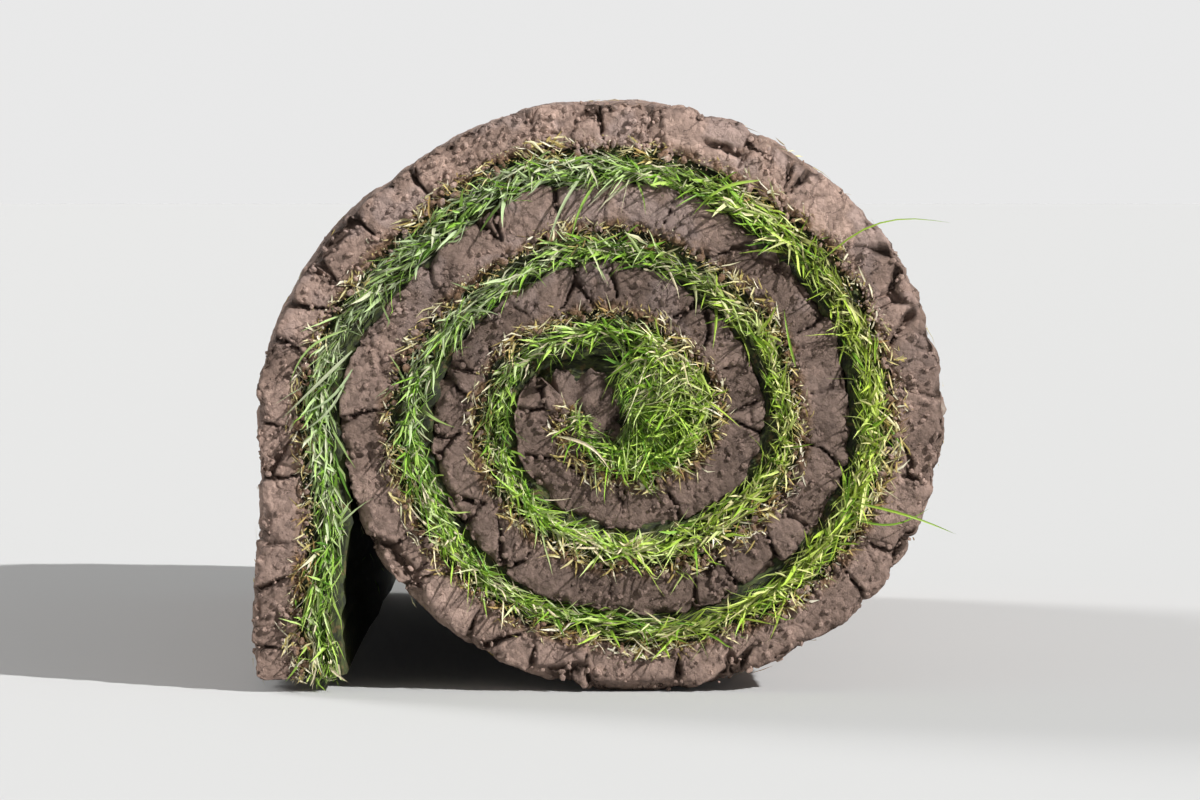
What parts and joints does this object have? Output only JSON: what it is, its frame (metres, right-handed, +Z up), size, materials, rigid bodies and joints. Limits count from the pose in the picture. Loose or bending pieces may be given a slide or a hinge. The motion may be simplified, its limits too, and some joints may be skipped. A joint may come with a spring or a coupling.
{
  "type": "roll of turf",
  "caption": "Roll of cut turf lying on its side: one strip of root-bound soil with grass, wound up grass inwards, its free end hanging down one side.",
  "frame": {"origin": "on the floor, midway along the roll and midway across it", "axes": "+Y along the roll's axis, +Z up, +X to the right of a viewer who faces the cut end at -Y, with the strip's free end on the left"},
  "size_m": [0.2586, 0.628, 0.2213],
  "materials": {
    "soil": "matte, fine granular soil bound by roots",
    "grass": "matte to slightly glossy grass blades",
    "thatch": "matte dry straw, roots and thatch"
  },
  "bodies": {
    "root": {"soil_mat": "soil", "grass_sward": "grass"}
  },
  "joints": []
}
